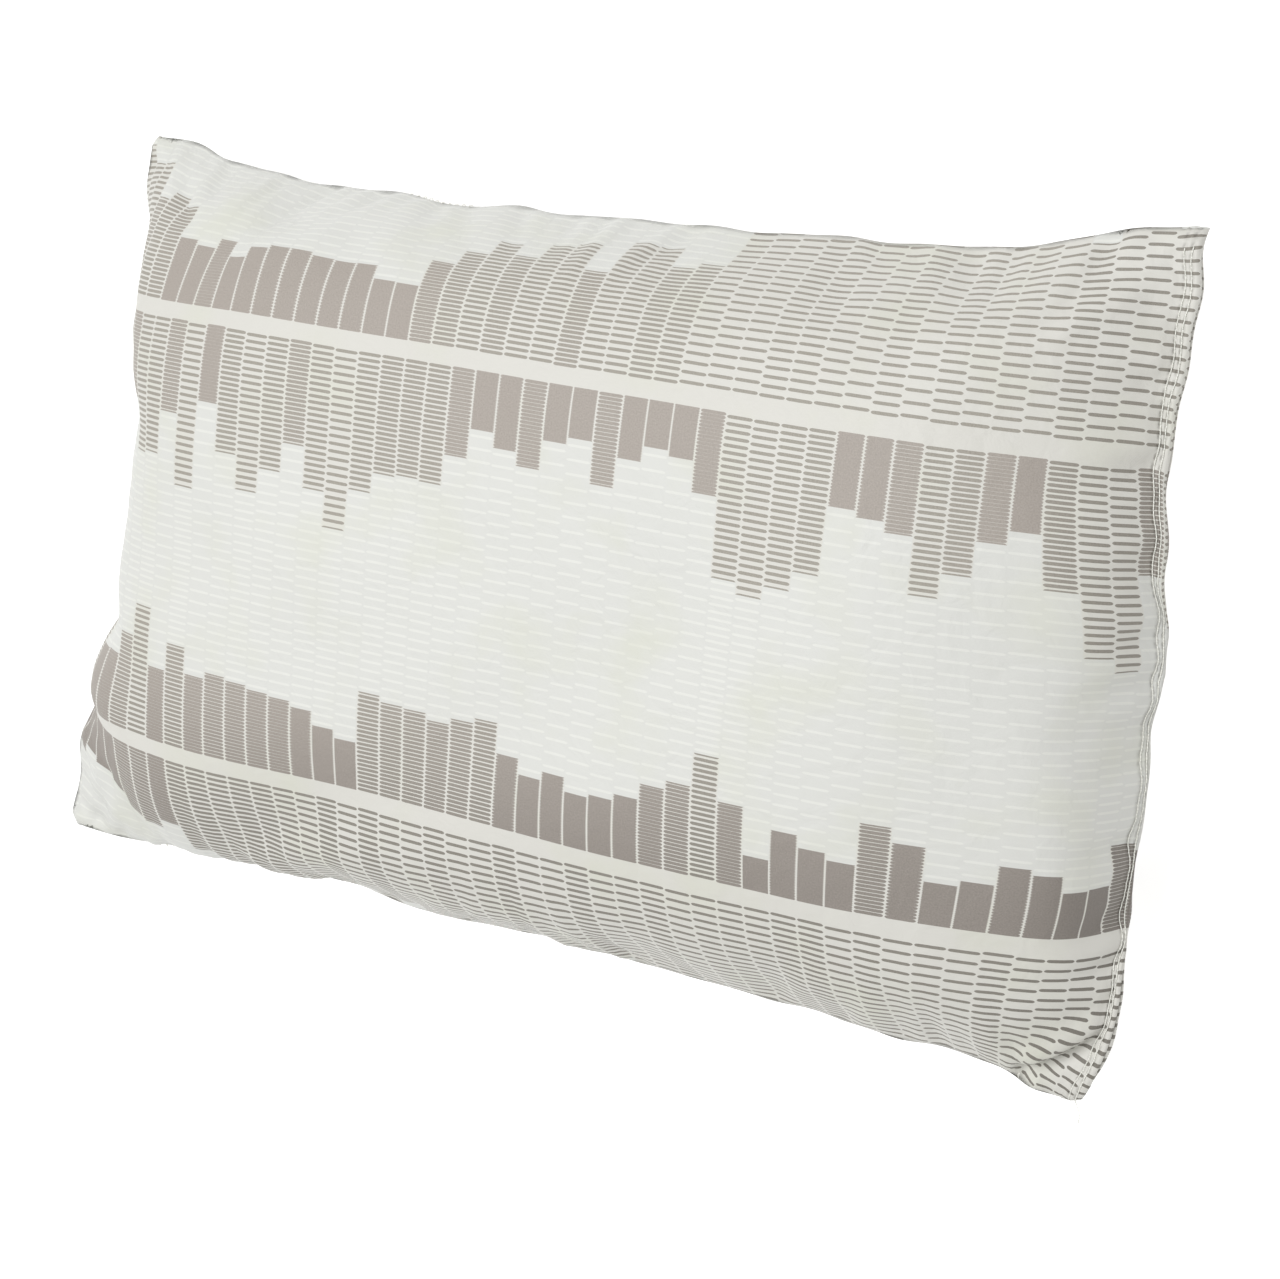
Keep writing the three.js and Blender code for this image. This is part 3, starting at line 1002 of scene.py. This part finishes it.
def stitch_dents(wires, place):
    at = wires.node("ShaderNodeSeparateXYZ", {"Vector": place})
    inside_hem = wires.sum("SUBTRACT", length_mm / 2, at.outputs[0])
    past_row_end = wires.sum("ADD", at.outputs[1], width_mm / 2 - row_end * 1000)
    pull = wires.sum("COSINE", wires.sum("MULTIPLY", past_row_end, 2 * math.pi / (stitch * 1000)))
    depth = 0.0
    for inset in row_insets.values():
        off = wires.sum("DIVIDE", wires.sum("SUBTRACT", inside_hem, inset * 1000), dent_width)
        valley = wires.sum("EXPONENT", wires.sum("MULTIPLY", wires.sum("MULTIPLY", off, off), -1))
        depth = wires.sum("ADD", depth, valley)
    deep = wires.sum("MULTIPLY_ADD", pull, 0.4, 0.6)
    return wires.sum("MULTIPLY", wires.sum("MULTIPLY", depth, deep), -1)


# %% The ground of the print, with faint stains
def cloth_ground(wires, pattern):
    base = wires.mix(pattern.outputs["Ground"], colour(209, 207, 201), colour(210, 210, 206))
    base = wires.mix(pattern.outputs["White dash"], base, colour(218, 218, 213))
    mottle = wires.node("ShaderNodeTexNoise", {
        "Vector": pattern.outputs["Place"], "Scale": 0.028, "Detail": 3})
    stain = wires.node("ShaderNodeMapRange", {
        "Value": mottle.outputs["Fac"], "From Min": 0.5, "From Max": 0.75, "To Max": 0.5})
    return wires.mix(stain.outputs[0], base, colour(205, 206, 190))


# %% The ink, with painted shade towards the lower edge and the hem
def fade(wires, value, first, last, at_first, at_last):
    made = wires.node("ShaderNodeMapRange", {
        "Value": value, "From Min": first, "From Max": last, "To Min": at_first, "To Max": at_last},
        interpolation_type="SMOOTHSTEP")
    return made.outputs[0]


def ink_with_painted_shade(wires, pattern, grain):
    at = wires.node("ShaderNodeSeparateXYZ", {"Vector": pattern.outputs["Place"]})
    slanted = wires.sum("MULTIPLY_ADD", at.outputs[0], -0.12, at.outputs[1])
    # painted shade: the ink is darkened towards the lower edge and the hem, where the cloth turns away
    # from the light
    painted_shade = wires.sum(
        "MULTIPLY", fade(wires, slanted, -105, -15, 0.72, 1), fade(wires, at.outputs[0], 170, 212, 1, 0.8))
    ink = wires.mix(pattern.outputs["Open bar"], colour(164, 156, 149), colour(157, 152, 143))
    toned = wires.node("ShaderNodeVectorMath", {
        "Vector": ink, "Scale": wires.sum("MULTIPLY", grain, painted_shade)}, operation="SCALE")
    return toned.outputs[0]


# %% The three layers of bump
def cloth_bumps(wires, place, weave):
    crinkle = wires.node("ShaderNodeTexNoise", {
        "Vector": place, "Scale": 0.11, "Detail": 4, "Distortion": 0.6})
    normal = None
    for height, strength, distance in (
            (crinkle.outputs["Fac"], 0.5, 0.0012),
            (weave.outputs["Height"], 0.35, 0.0001),
            (stitch_dents(wires, place), 1.0, 0.0006)):
        bump = wires.node("ShaderNodeBump", {"Height": height, "Strength": strength, "Distance": distance})
        if normal:
            wires.feed(bump.inputs["Normal"], normal)
        normal = bump.outputs[0]
    return normal


# %% The cloth material
def cloth_material(name, column_shift):
    material, wires, shader = new_finish(name)
    pattern = wires.node("ShaderNodeGroup", {"Column shift": column_shift}, node_tree=print_group)
    weave = wires.node("ShaderNodeGroup", {"Place": pattern.outputs["Place"]}, node_tree=weave_group)
    grain = wires.sum("MULTIPLY_ADD", weave.outputs["Grain"], 0.7, 0.65)
    printed = wires.mix(
        pattern.outputs["Ink"], cloth_ground(wires, pattern), ink_with_painted_shade(wires, pattern, grain))
    wires.fill(shader, {
        "Base Color": printed,
        "Roughness": wires.sum("MULTIPLY_ADD", pattern.outputs["Ink"], 0.08, 0.48),
        "Specular IOR Level": 0.3,
        "Sheen Weight": 0.06,
        "Sheen Roughness": 0.4,
        "Normal": cloth_bumps(wires, pattern.outputs["Place"], weave),
    })
    return material


front_casing.data.materials.append(cloth_material("printed_cloth_front", 0.0))
back_casing.data.materials.append(cloth_material("printed_cloth_back", 17.0))

# %% [markdown]
# ## Thread and fibre finishes
#
# Sewing thread is two plies twisted together, which shows as a slanted ribbing. The fibre is white and
# hazy, with a fine tangle instead of a surface.

# %% The thread material
def thread_material():
    material, wires, shader = new_finish("sewing_thread")
    place = wires.node("ShaderNodeTexCoord")
    twist = wires.node("ShaderNodeTexWave", {
        "Vector": place.outputs["Object"], "Scale": 600, "Distortion": 1.5}, bands_direction="DIAGONAL")
    bump = wires.node("ShaderNodeBump", {
        "Height": twist.outputs["Fac"], "Strength": 0.4, "Distance": 0.0001})
    wires.fill(shader, {
        "Base Color": wires.mix(twist.outputs["Fac"], colour(214, 213, 204), colour(243, 242, 236)),
        "Roughness": 0.45,
        "Sheen Weight": 0.2,
        "Normal": bump.outputs[0],
    })
    return material


thread_finish = thread_material()
for piece in [*stitches.values(), overlock]:
    piece.data.materials.append(thread_finish)


# %% The fibre material
def fibre_material():
    material, wires, shader = new_finish("fill_fibre")
    place = wires.node("ShaderNodeTexCoord")
    tangle = wires.node("ShaderNodeTexNoise", {
        "Vector": place.outputs["Object"], "Scale": 900, "Detail": 5, "Distortion": 2.5})
    bump = wires.node("ShaderNodeBump", {
        "Height": tangle.outputs["Fac"], "Strength": 0.8, "Distance": 0.0006})
    wires.fill(shader, {
        "Base Color": wires.mix(tangle.outputs["Fac"], colour(226, 226, 222), colour(250, 250, 247)),
        "Roughness": 0.9,
        "Sheen Weight": 0.5,
        "Normal": bump.outputs[0],
    })
    return material


fibre.data.materials.append(fibre_material())
print("materials", len(bpy.data.materials))

# %% [markdown]
# ## Take the frame's place
#
# Each piece rides on the root body. The table names the solids of the frame that each piece stands for,
# which are hidden, and the finish slot it belongs to. The panels are sheets cut flat and held stretched
# round the filling.

# %% Ride and replace
stands_for = {
    front_casing: ("front_panel", "printed_cloth"),
    back_casing: ("back_panel", "printed_cloth"),
    fibre: ("fibre_fill", "fill_fibre"),
    overlock: ("seam_overlock_thread", "sewing_thread"),
}
for (row_name, kind), piece in stitches.items():
    stands_for[piece] = ("{}_{}_thread".format(row_name, kind), "sewing_thread")
for piece, (node, slot) in stands_for.items():
    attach(piece, "root")
    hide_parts(node)
print("pieces", len(stands_for))

# %% [markdown]
# ## Floor, light and camera
#
# The floor is plain and pale, and it glows, like the light tables that such things are shown on, so it
# stays white where the pillow shades it. The light comes from all round, with a large soft lamp high on
# the left, so the left of the pillow is a little brighter than the right and the creases show. The wall
# behind shows white, while the light that it gives is softer.

# %% The floor
floor_reach = 4
floor_gap = 0.0002
floor_corners = [(x * floor_reach, y * floor_reach, 0) for x, y in ((-1, -1), (1, -1), (1, 1), (-1, 1))]
floor_mesh = bpy.data.meshes.new("floor")
floor_mesh.from_pydata(floor_corners, [], [(0, 1, 2, 3)])
floor = bpy.data.objects.new("floor", floor_mesh)
scene.collection.objects.link(floor)
floor_finish, wires, floor_shader = new_finish("pale_floor")
wires.fill(floor_shader, {
    "Base Color": (0.5, 0.5, 0.5, 1),
    "Roughness": 0.9,
    "Specular IOR Level": 0.1,
    "Emission Color": (1, 1, 1, 1),
    "Emission Strength": 0.78,
})
floor_mesh.materials.append(floor_finish)
floor.location.z = -floor_gap
print("floor", 2 * floor_reach, "m wide")

# %% The light
world = bpy.data.worlds.new("studio")
scene.world = world
world.use_nodes = True
wires = Wiring(world.node_tree)
studio_light = wires.fill(
    world.node_tree.nodes["Background"], {"Color": (1.0, 1.0, 0.965, 1), "Strength": 0.46})
white_wall = wires.node("ShaderNodeBackground", {"Color": (1, 1, 1, 1)})
ray = wires.node("ShaderNodeLightPath")
seen = wires.node("ShaderNodeMixShader")
for socket, value in zip(
        seen.inputs, (ray.outputs["Is Camera Ray"], studio_light.outputs[0], white_wall.outputs[0])):
    wires.feed(socket, value)
wires.feed(world.node_tree.nodes["World Output"].inputs["Surface"], seen.outputs[0])
scene.view_settings.view_transform = "Standard"
print("light from all round", studio_light.inputs["Strength"].default_value)

# %% The lamp
lamp_place = Vector((-0.46, 0.4, 2.85))
lamp_aim = Vector((0, 0, 0.05))
lamp_light = bpy.data.lights.new("key", "AREA")
lamp_light.energy = 69
lamp_light.color = (0.975, 0.985, 1.0)
lamp_light.size = 1.6
lamp = bpy.data.objects.new("key", lamp_light)
scene.collection.objects.link(lamp)
lamp.location = lamp_place
lamp.rotation_euler = (lamp_aim - lamp_place).to_track_quat("-Z", "Y").to_euler()
print("lamp", lamp_light.energy, "W")

# %% The camera
camera_data = bpy.data.cameras.new("camera")
camera = bpy.data.objects.new("camera", camera_data)
scene.collection.objects.link(camera)
camera_data.sensor_fit = "HORIZONTAL"
camera_data.sensor_width = 36
camera_data.lens = 101.2
look = Vector((-0.519, -0.1945, -0.8324)).normalized()
rough_up = Vector((-0.137, 0.980, -0.1435))
side_way = look.cross(rough_up).normalized()
camera_up = side_way.cross(look)
camera_place = Vector((0.669, 0.230, 1.047 + seam_height))
camera_axes = Matrix((side_way, camera_up, -look)).transposed()
camera.matrix_world = Matrix.Translation(camera_place) @ camera_axes.to_4x4()
scene.camera = camera
print("camera distance", round(camera_place.length, 3), "m")
